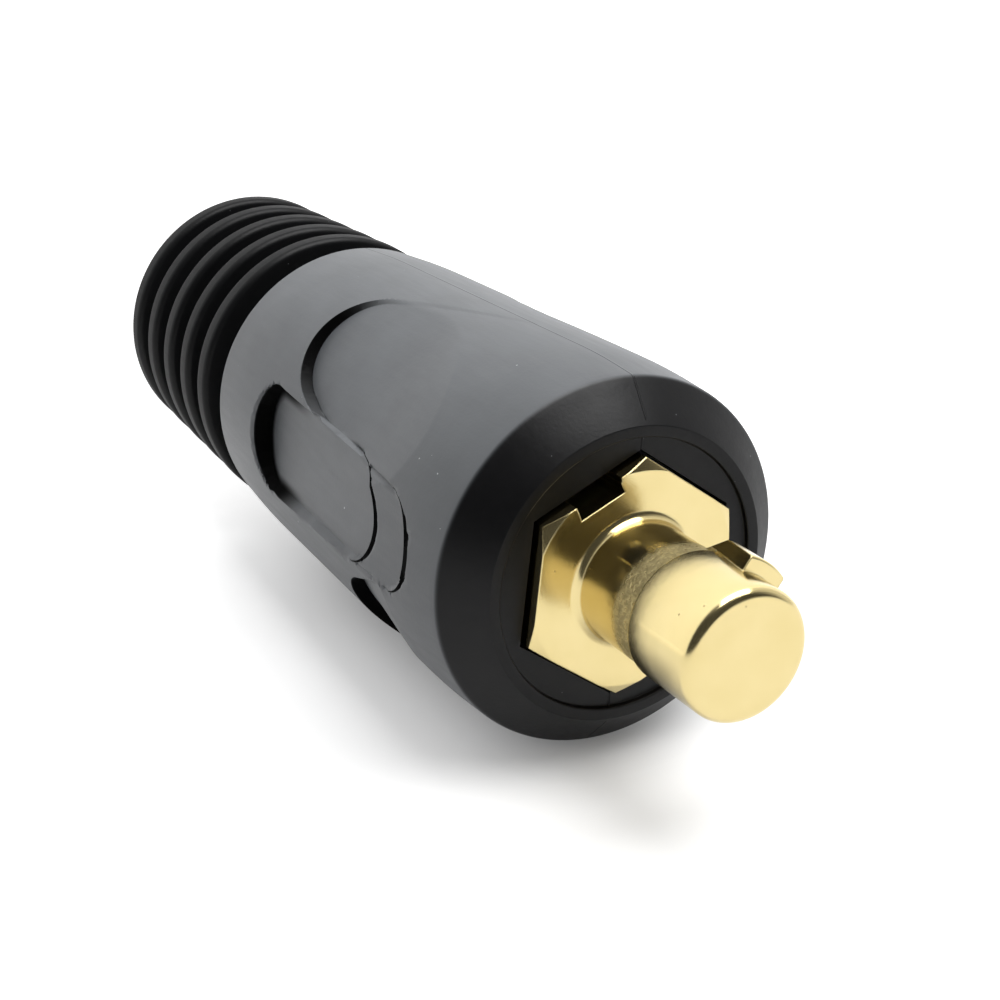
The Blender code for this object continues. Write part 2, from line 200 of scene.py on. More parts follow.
def surface(tree, shader):
    tree.add("ShaderNodeOutputMaterial", None, {"Surface": shader})


def specks(tree, where, scale, size, share):
    """Round dots, one in each cell of a Voronoi pattern, kept in this share of the cells."""
    settings = {"feature": "F1", "distance": "EUCLIDEAN"}
    inputs = {"Vector": where, "Scale": scale}
    near, tint = tree.add("ShaderNodeTexVoronoi", settings, inputs, out=["Distance", "Color"])
    lot = tree.split(tint)
    kept = lot[0] < share
    return kept * (near < size * (0.4 + lot[1]))


def bump(tree, height, edge=None):
    """The normal for a height in mm, on top of the normal of a Bevel node where there is one."""
    inputs = {"Height": height, "Strength": 1.0, "Distance": 1.0 * MM}
    if edge is not None:
        inputs["Normal"] = edge
    return tree.add("ShaderNodeBump", None, inputs)


print("materials can be made")

# %% [markdown]
# The grip has hollows: four thumb scoops, a label recess on each side, and a ledge in front of each
# label. Their steep walls are painted black as shade, and so are two thin lines in front of the
# label's and the ledge's front arcs, painted shade over a shallow groove. The sleeve's mesh tells the
# shader where they are: its attributes give the distance inside each outline, in mm, plus 10. An
# oval has the heights of its two ends, its half width at each end, and how long each rounded end is.

# %% Painted shade on walls and lines
Oval = namedtuple("Oval", "rear front rear_half front_half rear_end front_end")
LEDGE = Oval(68.2 * MM, 84.2 * MM, 5.2 * MM, 5.2 * MM, 5.2 * MM, 5.2 * MM)
LABEL = Oval(44.6 * MM, 76.0 * MM, 6.2 * MM, 5.6 * MM, 4.5 * MM, 6.5 * MM)
# Shade on the hollows' walls and in the lines is painted into the rubber's colour.
WALL = 0.37 * MM  # how wide a hollow's wall is, seen from outside
GAP = 0.85 * MM  # how wide the line in front of an arc is at most
LABEL_DARK_END = 50.0 * MM  # the label's wall is dark from its rear end up to here
LABEL_DARK_FADE = 7.0 * MM
LABEL_FOOT_FADE = 1.3 * MM  # how far the dark of the label's wall runs out on its floor
SCOOP_FOOT_FADE = 0.22 * MM
SCOOP_DARK_DEPTH = 0.9 * MM  # a scoop's wall is all dark where it is this deep


def stored(tree, name):
    """How far inside an outline this spot is, in metres. A mesh without the attribute reads -10 mm."""
    value = tree.add("ShaderNodeAttribute", {"attribute_name": name}, out="Fac")
    return (value - 10.0) * MM


def wall_shade(tree, inside, fade):
    """Painted shade: 1 on the wall of a hollow, then less and less over this much of its floor."""
    rim = tree.ease(inside / (0.08 * MM) + 0.5)
    return rim * (1.0 - tree.ease((inside - WALL) / fade))


def gap_width(tree, y, z, oval):
    """The painted shade line in front of an oval's front arc is widest in the middle, ends at the
    flanks.
    """
    share = y / oval.front_half
    by_arc = z > oval.front - oval.front_end
    return tree.most(1.0 - share * share, 0.0) * by_arc * GAP


def gap_shade(tree, inside, width):
    """Painted shade: 1 in the line in front of an outline, 0 beside it."""
    front = tree.ease((inside + width) / (0.10 * MM))
    return front * (1.0 - tree.ease(inside / (0.10 * MM))) * (width > 0.02 * MM)


def painted_shade_marks(tree, x, y, z):
    """Painted shade: 1 on the walls and in the lines, 0 elsewhere. A scoop's wall is darkest at its
    flanks.
    """
    label = stored(tree, "label_rim")
    ledge = stored(tree, "ledge_rim")
    at_rear = 1.0 - tree.ease((z - LABEL_DARK_END) / LABEL_DARK_FADE)
    label_wall = wall_shade(tree, label, LABEL_FOOT_FADE) * at_rear
    deep = tree.ease(stored(tree, "scoop_depth") / SCOOP_DARK_DEPTH)
    flank = abs(y) / tree.length(x, y)
    steep = 0.45 + 0.55 * tree.ease((flank - 0.30) / 0.22)
    off_label = 1.0 - tree.ease(label / (0.2 * MM) + 0.5)
    scoop_wall = wall_shade(tree, stored(tree, "scoop_rim"), SCOOP_FOOT_FADE)
    scoop_wall = scoop_wall * deep * steep * off_label
    label_line = gap_shade(tree, label, gap_width(tree, y, z, LABEL))
    ledge_line = gap_shade(tree, ledge, gap_width(tree, y, z, LEDGE))
    return tree.most(tree.most(label_wall, scoop_wall), tree.most(label_line, ledge_line))


print("hollows have walls", round(WALL / MM, 2), "mm wide")

# %% [markdown]
# The rubber is a black mould compound: almost matt, with a grey bloom on the grip, a fine grain,
# white dust and thin scratches. The nose and the boot are black and closer to gloss, because the tool
# was polished there. The mould's two halves leave a thin raised line along the sleeve, at x = 0.
# A shader never gets quite black while it still has a gloss, so the blackest places mix in a plain
# black Diffuse as well: the painted shade on the hollows' walls and lines, and the nose and boot.

# %% Black rubber
SHOULDER = 90.4
GRIP_REAR = 32.8
BLOOM = ((0.070, 0.075, 0.081, 1), (0.112, 0.119, 0.127, 1))
DARKER_TO_NOSE = (0.036, 0.039, 0.043, 1)
POLISHED = (0.004, 0.004, 0.005, 1)
DUST = (0.50, 0.51, 0.53, 1)
PAINTED_WALL_SHADE = (0.002, 0.002, 0.003, 1)
FLAT_BLACK = (0.002, 0.002, 0.002, 1)


def make_rubber():
    material, tree = new_material("black_rubber")
    where = tree.add("ShaderNodeTexCoord", out="Object")
    x, y, z = tree.split(where)
    # painted shade: black on the hollows' walls and in the thin lines before the front arcs
    dark = painted_shade_marks(tree, x, y, z)
    nose = tree.ease((z - (SHOULDER - 0.2) * MM) / (0.5 * MM))
    boot = 1.0 - tree.ease((z - (GRIP_REAR - 0.8) * MM) / (1.0 * MM))
    # the grip's colour gets darker towards the nose
    to_nose = tree.ease((z - 62.0 * MM) / (22.0 * MM))
    cloud = tree.noise(where, 90.0, 3.0)
    grain = tree.noise(where, 2600.0, 3.0, 0.6)
    stretched = tree.add("ShaderNodeMapping", None, {"Vector": where, "Scale": (1.0, 1.0, 0.12)})
    scratch = tree.noise(stretched, 1400.0, 2.0)
    dust = specks(tree, where, 420.0, 0.045, 0.16)
    lint = specks(tree, where, 1100.0, 0.05, 0.04)
    white = tree.most(dust, lint) * (1.0 - nose * 0.6) * (1.0 - dark)
    colour = tree.colour_mix(*BLOOM, tree.ease(cloud * 1.6 - 0.3))
    colour = tree.colour_mix(colour, DARKER_TO_NOSE, to_nose * 0.30)
    colour = tree.colour_mix(colour, POLISHED, tree.most(nose, boot * 0.96))
    colour = tree.colour_mix(colour, DUST, white * 0.7)
    # the painted shade makes the colour black on the walls and lines
    colour = tree.colour_mix(colour, PAINTED_WALL_SHADE, dark * 0.98)
    rough = 0.47 + 0.16 * (cloud - 0.5) + 0.10 * (scratch - 0.5) - 0.08 * tree.most(nose, boot)
    on_sleeve = (z > (GRIP_REAR + 0.2) * MM) * (z < 93.5 * MM)
    mould_line = tree.ease(1.0 - abs(x) / (0.16 * MM)) * on_sleeve
    height = grain * 0.012 + scratch * 0.010 + mould_line * 0.10 + white * 0.03
    inputs = {
        "Base Color": colour,
        "Roughness": rough,
        "Normal": bump(tree, height),
        "Specular IOR Level": 0.42,
    }
    shader = tree.add("ShaderNodeBsdfPrincipled", None, inputs)
    flat_black = tree.add("ShaderNodeBsdfDiffuse", None, {"Color": FLAT_BLACK})
    # the painted shade mixes in the black Diffuse, and so do the black nose and boot
    share = tree.most(dark * 0.95, tree.most(nose * 0.5, boot * 0.62))
    surface(tree, tree.add("ShaderNodeMixShader", None, {0: share, 1: shader, 2: flat_black}))
    return material


rubber = make_rubber()
print("made", rubber.name)

# %% [markdown]
# The contact is brass with a thin bright plating. It is smooth where the tool cut it cleanly, with
# fine turning rings, small pits, and a rough olive band on the neck, where the plating is thin.
# The Bevel node rounds every sharp edge by about 0.2 mm in the light only, which is cheaper than
# bevelling edges that a Boolean has cut.

# %% Gold brass
PIN_REAR = 103.9
WORN_FROM = 100.2
RING_RATE = 42000.0  # radians in a metre, which gives about 7 rings in a millimetre
LINE_RATE = 52000.0
PALE_BRASS = ((0.62, 0.505, 0.235, 1), (0.70, 0.585, 0.305, 1))
WORN_BRASS = (0.15, 0.125, 0.06, 1)
PIT_BROWN = (0.35, 0.24, 0.09, 1)


def metal(tree, colour, rough, metallic, normal):
    """The Principled shader that both metals end in."""
    inputs = {"Base Color": colour, "Roughness": rough, "Metallic": metallic, "Normal": normal}
    surface(tree, tree.add("ShaderNodeBsdfPrincipled", None, inputs))


def make_brass():
    material, tree = new_material("gold_brass")
    where = tree.add("ShaderNodeTexCoord", out="Object")
    x, y, z = tree.split(where)
    radius = tree.length(x, y)
    on_neck = (z < PIN_REAR * MM) * (radius < 6.6 * MM)
    neck = tree.ease((z - WORN_FROM * MM) / (1.8 * MM)) * on_neck
    cloud = tree.noise(where, 260.0, 3.0)
    speckle = tree.noise(where, 1900.0, 4.0, 0.7)
    rings = tree.math("SINE", radius * RING_RATE + cloud * 6.0) * 0.5 + 0.5
    lines = tree.math("SINE", z * LINE_RATE + cloud * 4.0) * 0.5 + 0.5
    worn = neck * tree.ease(speckle * 2.6 - 0.55 + cloud - 0.5)
    pits = specks(tree, where, 900.0, 0.10, 0.10)
    colour = tree.colour_mix(*PALE_BRASS, cloud)
    colour = tree.colour_mix(colour, WORN_BRASS, worn * 0.72)
    colour = tree.colour_mix(colour, PIT_BROWN, pits * 0.6)
    rough = 0.13 + 0.08 * cloud + 0.30 * worn + 0.10 * pits
    height = rings * 0.0011 + lines * 0.0010 + worn * speckle * 0.05 - pits * 0.02 + cloud * 0.02
    edge = tree.add("ShaderNodeBevel", {"samples": 6}, {"Radius": 0.22 * MM})
    metal(tree, colour, rough, 1.0, bump(tree, height, edge))
    return material


brass = make_brass()
print("made", brass.name)

# %% [markdown]
# The two clamp screws are steel with a black oxide coat: dark, half gloss, worn to bare metal on a
# few high spots, with fine marks from the thread die.

# %% Blackened steel
OXIDE_BLACK = (0.055, 0.055, 0.06, 1)
BARE_STEEL = (0.36, 0.35, 0.34, 1)


def make_steel():
    material, tree = new_material("blackened_steel")
    where = tree.add("ShaderNodeTexCoord", out="Object")
    cloud = tree.noise(where, 500.0, 3.0)
    grain = tree.noise(where, 3000.0, 3.0, 0.6)
    worn = tree.ease(grain * 5.0 - 3.0)
    colour = tree.colour_mix(OXIDE_BLACK, BARE_STEEL, worn * 0.6)
    edge = tree.add("ShaderNodeBevel", {"samples": 4}, {"Radius": 0.15 * MM})
    metal(tree, colour, 0.30 + 0.2 * cloud, 0.9, bump(tree, grain * 0.02, edge))
    return material


steel = make_steel()
print("made", steel.name)

# %% [markdown]
# Every main piece of the plug is turned or moulded round one axis, so one geometry tree makes them
# all. It takes half a section, drawn as a line of points, and lays it round the axis on a grid: the
# column gives the angle and the row gives the point. Angles start at the mould's parting line, which
# faces -Y, and run towards +X. A Screw modifier could do this too, but the grid also takes a hexagon,
# wherever the section's points carry the attribute "hexagon".

# %% Geometry tree: a turned form
def new_geometry_tree(name, sockets):
    """An empty tree with a Geometry input, these named inputs, and a Geometry output."""
    group = bpy.data.node_groups.new(name, "GeometryNodeTree")
    group.is_modifier = True
    face = group.interface
    face.new_socket("Geometry", in_out="INPUT", socket_type="NodeSocketGeometry")
    for label, kind in sockets.items():
        face.new_socket(label, in_out="INPUT", socket_type=f"NodeSocket{kind}")
    face.new_socket("Geometry", in_out="OUTPUT", socket_type="NodeSocketGeometry")
    tree = Tree(group)
    entry = group.nodes.new("NodeGroupInput")
    wires = {socket.name: Wire(tree, socket) for socket in entry.outputs if socket.name}
    return tree, wires


def finish_tree(tree, geometry, material):
    """Realize Instances, Set Material and the group's output."""
    real = tree.add("GeometryNodeRealizeInstances", None, {0: geometry})
    done = tree.add("GeometryNodeSetMaterial", None, {"Geometry": real, "Material": material})
    tree.add("NodeGroupOutput", None, {"Geometry": done})
    return tree.data


def turned_tree():
    sockets = {"Steps": "Int", "Hexagon apothem": "Float", "Material": "Material"}
    tree, given = new_geometry_tree("Turned form", sockets)
    count = tree.add("GeometryNodeAttributeDomainSize", None, {0: given["Geometry"]})
    grid = tree.add("GeometryNodeMeshGrid", None, {2: given["Steps"] + 1.0, 3: count})
    index = tree.add("GeometryNodeInputIndex")
    column = tree.math("FLOOR", (index + 0.5) / count)
    row = index - column * count
    place = tree.add("GeometryNodeInputPosition")
    settings = {"data_type": "FLOAT_VECTOR", "domain": "POINT"}
    inputs = {"Geometry": given["Geometry"], "Value": place, "Index": row}
    radius, _, height = tree.split(tree.add("GeometryNodeSampleIndex", settings, inputs))
    flag = tree.add("GeometryNodeInputNamedAttribute", {"data_type": "FLOAT"}, {"Name": "hexagon"})
    settings = {"data_type": "FLOAT", "domain": "POINT"}
    inputs = {"Geometry": given["Geometry"], "Value": flag, "Index": row}
    hexagon = tree.add("GeometryNodeSampleIndex", settings, inputs)
    angle = column * (2 * math.pi) / given["Steps"]
    sixth = tree.math("FLOORED_MODULO", angle, math.pi / 3) - math.pi / 6
    side = given["Hexagon apothem"] / tree.math("COSINE", sixth)
    radius = tree.blend(radius, side, hexagon)
    x = radius * tree.math("SINE", angle)
    y = radius * tree.math("COSINE", angle) * -1.0
    inputs = {"Geometry": grid, "Position": tree.join(x, y, height)}
    moved = tree.add("GeometryNodeSetPosition", None, inputs)
    inputs = {"Geometry": moved, "Distance": 0.002 * MM}
    closed = tree.add("GeometryNodeMergeByDistance", None, inputs)
    smooth = tree.add("GeometryNodeSetShadeSmooth", None, {"Geometry": closed})
    return finish_tree(tree, smooth, given["Material"])


def frozen(thing):
    """The mesh of an object as its modifiers leave it, as a plain mesh."""
    graph = bpy.context.evaluated_depsgraph_get()
    return bpy.data.meshes.new_from_object(thing.evaluated_get(graph))


def grow(name, mesh, tree, values):
    """Runs a geometry tree on a mesh and gives back the result as a plain mesh."""
    carrier = add_object(name, mesh)
    modifier = carrier.modifiers.new(tree.name, "NODES")
    modifier.node_group = tree
    for item in tree.interface.items_tree:
        if item.item_type == "SOCKET" and item.in_out == "INPUT" and item.name in values:
            modifier[item.identifier] = values[item.name]
    made = frozen(carrier)
    made.name = name
    carrier.modifiers.remove(modifier)
    bpy.data.objects.remove(carrier)
    return made


def turn_section(name, line, steps, material, apothem=0.0):
    """Lays a section round the axis in this many steps, with its hexagon's apothem in mm."""
    values = {"Steps": steps, "Hexagon apothem": apothem * MM, "Material": material}
    return grow(name, line, turned_form, values)


turned_form = turned_tree()
print("tree:", turned_form.name, "with", len(turned_form.nodes), "nodes")

# %% [markdown]
# A section is a list of corners (radius, height, rounding) in millimetres. The helper puts a small
# arc into each rounded corner, then adds points between them, so that the grid is fine where the
# grip is pressed in and coarse where nothing happens.

# %% Sections
def rounded(corners, steps=5):
    """The line through (radius, height, rounding) corners, with each rounding as an arc."""
    points = []
    for i, (r, z, size) in enumerate(corners):
        corner = Vector((r, z))
        if size == 0 or i in (0, len(corners) - 1):
            points.append(corner)
            continue
        before = (Vector(corners[i - 1][:2]) - corner).normalized()
        after = (Vector(corners[i + 1][:2]) - corner).normalized()
        half = before.angle(after) / 2
        start = corner + before * (size / math.tan(half))
        end = corner + after * (size / math.tan(half))
        centre = corner + (before + after).normalized() * (size / math.sin(half))
        for k in range(steps + 1):
            arm = start.lerp(end, k / steps) - centre
            points.append(centre + arm.normalized() * size)
    return points


def divided(points, spacing):
    """Adds points so that no stretch is longer than spacing(point)."""
    line = [points[0]]
    for end in points[1:]:
        while True:
            start = line[-1]
            left = (end - start).length
            step = spacing((start + end) / 2 if left < 1 else start)
            if left <= step * 1.3:
                line.append(end)
                break
            line.append(start + (end - start) * (step / left))
    return line


def section(name, points, is_hexagon=None):
    """A mesh line of (radius, height) points in millimetres."""
    mesh = bpy.data.meshes.new(name)
    edges = [(i, i + 1) for i in range(len(points) - 1)]
    mesh.from_pydata([(p[0] * MM, 0, p[1] * MM) for p in points], edges, [])
    flag = mesh.attributes.new("hexagon", "FLOAT", "POINT")
    for i, point in enumerate(points):
        flag.data[i].value = 1.0 if is_hexagon and is_hexagon(point) else 0.0
    return mesh


print("sections are ready")

# %% [markdown]
# The sleeve is one moulding: nose with its rim and hexagon pocket, grip, boot tube and cable
# passage. Its section runs from the pocket outwards, down the outside, and back up inside. Corners
# are rounded by a few tenths of a millimetre, as rubber never has a sharp edge.

# %% The sleeve's section
SLEEVE_TOP = 93.9
NOSE_FACE = 93.3
NOSE_RADIUS = 19.05
TUBE_RADIUS = 13.4
PASSAGE = 7.0
POCKET_FLOOR = 87.6
POCKET_APOTHEM = 10.75
POCKET_MARK = 12.0  # the radius that stands for the pocket's wall until it is made a hexagon
BORE = 9.8
FINE_BANDS = ((42.5, 56.5), (64.0, 85.0))  # heights between which the hollows' rims lie


def sleeve_corners():
    return [
        (BORE, POCKET_FLOOR, 0),
        (POCKET_MARK, POCKET_FLOOR, 0.15),
        (POCKET_MARK, NOSE_FACE, 0.3),
        (13.7, NOSE_FACE, 0.12),
        (13.75, SLEEVE_TOP, 0.2),
        (14.9, SLEEVE_TOP, 0.2),
        (18.75, SHOULDER, 0.7),
        (NOSE_RADIUS, SHOULDER - 6.0, 80),
        (17.7, GRIP_REAR + 8.0, 120),
        (17.0, GRIP_REAR, 0.6),
        (TUBE_RADIUS, GRIP_REAR, 0.4),
        (TUBE_RADIUS, 0.05, 0.2),
        (PASSAGE + 0.8, 0.05, 0.2),
        (PASSAGE, 0.85, 0.2),
        (PASSAGE, 51.8, 0.3),
        (BORE, 54.6, 0.3),
        (BORE, POCKET_FLOOR, 0),
    ]


def sleeve_spacing(point):
    """How far apart the rows of the grid are, in mm."""
    radius, height = point
    on_grip = radius > 15.5 and height > GRIP_REAR
    if on_grip and any(low < height < high for low, high in FINE_BANDS):
        return 0.28
    if on_grip:
        return 0.9
    return 2.4 if radius > 12.5 else 6.0


def on_pocket(point):
    return abs(point[0] - POCKET_MARK) < 0.31 and point[1] > POCKET_FLOOR - 0.01


sleeve_line = divided(rounded(sleeve_corners()), sleeve_spacing)
sleeve_section = section("sleeve section", sleeve_line, on_pocket)
sleeve_blank = turn_section("sleeve blank", sleeve_section, 360, rubber, POCKET_APOTHEM)
print("sleeve blank:", len(sleeve_line), "rows,", len(sleeve_blank.polygons), "faces")

# %% [markdown]
# The grip is pressed in where fingers hold it: two thumb scoops on each side of the parting line,
# and an oval label recess on each side with a step in front of it. Cutting them with Booleans would
# leave long thin faces that shade badly on a smooth grip. A rule is cleaner: at each point, how deep
# is it inside an outline, and how low is the floor there? The point then moves towards the axis.
# Points near an outline first slide onto it, so that the rim is one clean line on the grid. Each cell
# is then split along its shorter diagonal, which is the one that follows the rim.
# The plug is the same on both sides of the parting plane, so the rule reads the size of x.

# %% How far inside an outline
Scoop = namedtuple("Scoop", "degrees rear turned")
SCOOPS = (Scoop(45, 50.0 * MM, 13), Scoop(135, 66.4 * MM, -13))
SCOOP_ROUNDING = 7.4 * MM
SCOOP_FLARE = math.radians(20)


def scoop_inside(tree, x, y, z, scoop):
    """How far inside a scoop's outline a point is, and which way is inwards, round and up."""
    angle = math.radians(scoop.degrees)
    around = x * math.cos(angle) + y * math.sin(angle)
    across = abs(around)
    ahead = z - (scoop.rear + SCOOP_ROUNDING)
    disc = tree.length(across, ahead)
    flank = across * math.cos(SCOOP_FLARE) - ahead * math.sin(SCOOP_FLARE)
    in_front = across * math.sin(SCOOP_FLARE) + ahead * math.cos(SCOOP_FLARE) > 0.0
    inside = SCOOP_ROUNDING - tree.blend(disc, flank, in_front)
    round_way = tree.blend(across / disc, math.cos(SCOOP_FLARE), in_front)
    up_way = tree.blend(ahead / disc, -math.sin(SCOOP_FLARE), in_front)
    faces_it = x * math.sin(angle) - y * math.cos(angle) > 0.0
    return inside, tree.math("SIGN", around) * round_way * -1.0, up_way * -1.0, faces_it


def oval_inside(tree, x, y, z, oval):
    """The same for a long oval on the side, with half an ellipse at each end."""
    share = tree.clamp((z - oval.rear) / (oval.front - oval.rear))
    half = tree.blend(oval.rear_half, oval.front_half, share)
    past_rear = tree.most((oval.rear + oval.rear_end - z) / oval.rear_end, 0.0)
    past_front = tree.most((z - (oval.front - oval.front_end)) / oval.front_end, 0.0)
    across = y / half
    ratio = tree.length(across, tree.most(past_rear, past_front))
    round_slope = across / half
    up_slope = past_front / oval.front_end - past_rear / oval.rear_end
    steepness = tree.most(tree.length(round_slope, up_slope), 1.0)
    inside = (1.0 - ratio) * ratio / steepness
    inside = tree.blend(inside, 2.0 * MM, ratio < 0.6)  # all the middle counts as 2 mm inside
    faces_it = x > 12.0 * MM
    return inside, round_slope / steepness * -1.0, up_slope / steepness * -1.0, faces_it


print("scoops start at", [round(scoop.rear / MM, 1) for scoop in SCOOPS], "mm")

# %% [markdown]
# The tree that presses the hollows works in four steps: slide the points onto the rims, find how deep
# each hollow is there, take the lowest floor, and store the distances from which the rubber's shader
# paints its shade.
# A scoop's floor is part of a wide cylinder whose axis lies beyond the plug's own, and it rises
# towards the nose, where the scoop runs out. The label's plate is flat and leaned, and it closes what
# a scoop would cut away under it.

# %% Geometry tree: pressed hollows
SCOOP_FLOOR = 16.8 * MM
SCOOP_OFFSET = 9.8 * MM
SCOOP_LIFT = 2.65 * MM  # how much the floor rises until the scoop has run out
LIFT_START = 62.0 * MM
LIFT_LENGTH = 26.0 * MM
CREASE = 0.07 * MM  # how deep a scoop's rear end is at least
LEDGE_FLOOR = 18.1 * MM
LABEL_FLOOR = 15.6 * MM
LABEL_FLOOR_RISE = 1.8 / 31.4
GAP_DEPTH = 0.25 * MM
FAR = -10.0 * MM  # the distance that stands for nowhere near a hollow
SKIN = 15.6 * MM  # only points outside this radius are pressed in
SKIN_REAR = 36.0 * MM
SKIN_FRONT = 90.0 * MM
LABEL_CLEAR = 0.4 * MM  # points this near the label's outline stay on it


def slide(tree, x, y, z, angle, found, free=1.0):
    """Slides points near an outline onto its rim or onto the foot of its wall, where they are free."""
    inside, round_way, up_way, faces_it = found
    reach = WALL / 2
    near_rim = abs(inside) < reach
    near_foot = abs(inside - WALL) < reach
    shift = (near_foot * (WALL - inside) - near_rim * inside) * faces_it * free
    radius = tree.length(x, y)
    moved_x = tree.most(x + shift * round_way * math.cos(angle), 0.0)
    moved_y = y + shift * round_way * math.sin(angle)
    keep = radius / tree.length(moved_x, moved_y)
    return moved_x * keep, moved_y * keep, z + shift * up_way


def pressed(tree, found):
    """0 outside a hollow, 1 on its floor, and a straight slope on its wall."""
    inside, _, _, faces_it = found
    return tree.clamp(inside / WALL) * faces_it


def scoop_depth(tree, x, y, z, radius, scoop):
    """How deep the floor of one scoop lies under the grip."""
    floor_angle = math.radians(scoop.degrees + scoop.turned)
    rise = tree.clamp((z - LIFT_START) / LIFT_LENGTH)
    lift = 0.5 - 0.5 * tree.math("COSINE", rise * math.pi)
    reach = SCOOP_FLOOR + SCOOP_OFFSET + lift * SCOOP_LIFT
    facing = (x * math.sin(floor_angle) - y * math.cos(floor_angle)) / radius
    inner = reach * reach - (1.0 - facing * facing) * SCOOP_OFFSET**2
    floor = tree.math("SQRT", inner) - facing * SCOOP_OFFSET
    crease = CREASE * (1.0 - tree.ease((z - 64.0 * MM) / (12.0 * MM)))
    return tree.most(radius - floor, crease)


def remember(tree, geometry, name, distance):
    """Stores a distance, which the rubber's shader reads for its painted shade: in mm, plus 10."""
    settings = {"data_type": "FLOAT", "domain": "POINT"}
    value = tree.most(distance / MM + 10.0, 0.0)
    inputs = {"Geometry": geometry, "Name": name, "Value": value}
    return tree.add("GeometryNodeStoreNamedAttribute", settings, inputs)


def hollows_tree():
    tree, given = new_geometry_tree("Pressed hollows", {"Material": "Material"})
    start_x, start_y, start_z = tree.split(tree.add("GeometryNodeInputPosition"))
    radius = tree.length(start_x, start_y)
    outside = (radius > SKIN) * (start_z > SKIN_REAR) * (start_z < SKIN_FRONT)
    x, y, z = abs(start_x), start_y, start_z
    for oval in (LEDGE, LABEL):
        x, y, z = slide(tree, x, y, z, math.pi / 2, oval_inside(tree, x, y, z, oval))
    free = abs(oval_inside(tree, x, y, z, LABEL)[0]) > LABEL_CLEAR
    for scoop in SCOOPS:
        found = scoop_inside(tree, x, y, z, scoop)
        x, y, z = slide(tree, x, y, z, math.radians(scoop.degrees), found, free)
    near = [scoop_inside(tree, x, y, z, scoop) for scoop in SCOOPS]
    depths = [scoop_depth(tree, x, y, z, radius, scoop) for scoop in SCOOPS]
    cuts = [depth * pressed(tree, found) for depth, found in zip(depths, near)]
    grip = radius - tree.most(*cuts)
    flatness = radius / tree.most(x, 4.0 * MM)
    by_ledge = oval_inside(tree, x, y, z, LEDGE)
    by_label = oval_inside(tree, x, y, z, LABEL)
    step = grip - pressed(tree, by_ledge) * tree.most(grip - flatness * LEDGE_FLOOR, 0.0)
    for found, oval in ((by_ledge, LEDGE), (by_label, LABEL)):
        width = gap_width(tree, y, z, oval)
        middle = abs(found[0] + width / 2) / tree.most(width / 2, 0.01 * MM)
        step = step - tree.ease(1.0 - middle) * found[3] * GAP_DEPTH
    floor = LABEL_FLOOR + (z - LABEL.rear) * LABEL_FLOOR_RISE
    low = tree.blend(step, flatness * floor, pressed(tree, by_label))
    scale = low / tree.most(radius, 1.0 * MM)
    side = tree.math("SIGN", start_x)
    place = tree.join(x * scale * side, y * scale, z)
    scoops = tree.most(*[tree.blend(FAR, found[0], found[3] * outside) for found in near])
    noted = remember(tree, given["Geometry"], "scoop_rim", scoops)
    noted = remember(tree, noted, "scoop_depth", tree.most(*depths))
    for name, found in (("label_rim", by_label), ("ledge_rim", by_ledge)):
        noted = remember(tree, noted, name, tree.blend(FAR, found[0], found[3] * outside))
    inputs = {"Geometry": noted, "Selection": outside > 0.5, "Position": place}
    moved = tree.add("GeometryNodeSetPosition", None, inputs)
    settings = {"quad_method": "SHORTEST_DIAGONAL"}
    inputs = {"Mesh": moved, "Selection": outside > 0.5}
    split = tree.add("GeometryNodeTriangulate", settings, inputs)
    return finish_tree(tree, split, given["Material"])


def shade(mesh, degrees):
    """Smooth shading, with an edge where faces meet at more than this angle."""
    mesh.shade_smooth()
    mesh.set_sharp_from_angle(angle=math.radians(degrees))


pressed_hollows = hollows_tree()
sleeve_mesh = grow("sleeve", sleeve_blank, pressed_hollows, {"Material": rubber})
shade(sleeve_mesh, 38)
print("tree:", pressed_hollows.name, "with", len(pressed_hollows.nodes), "nodes")

# %% [markdown]
# The boot bends with the cable, so it is a tube with ribs. Five equal ribs stand on it, each a
# little wider than the one behind. One rib is turned, and a geometry tree sets copies of it on a line
# of points and widens each by the same step.

# %% Geometry tree: the rib stack
def ribs_tree():
    sockets = {
        "Rib": "Object",
        "Count": "Int",
        "First height": "Float",
        "Pitch": "Float",
        "Growth": "Float",
        "Material": "Material",
    }
    tree, given = new_geometry_tree("Rib stack", sockets)
    start = tree.join(0.0, 0.0, given["First height"])
    step = tree.join(0.0, 0.0, given["Pitch"])
    inputs = {"Count": given["Count"], "Start Location": start, "Offset": step}
    line = tree.add("GeometryNodeMeshLine", None, inputs)
    rib = tree.add("GeometryNodeObjectInfo", None, {"Object": given["Rib"]}, out="Geometry")
    index = tree.add("GeometryNodeInputIndex")
    wider = 1.0 + index * given["Growth"]
    scale = tree.join(wider, wider, 1.0)
    inputs = {"Points": line, "Instance": rib, "Scale": scale}
    copies = tree.add("GeometryNodeInstanceOnPoints", None, inputs)
    return finish_tree(tree, copies, given["Material"])


def piece(name, mesh, body, node):
    """A finished piece on its body, standing for its solid, which it hides."""
    made = add_object(name, mesh)
    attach(made, body)
    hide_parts(node)
    return made


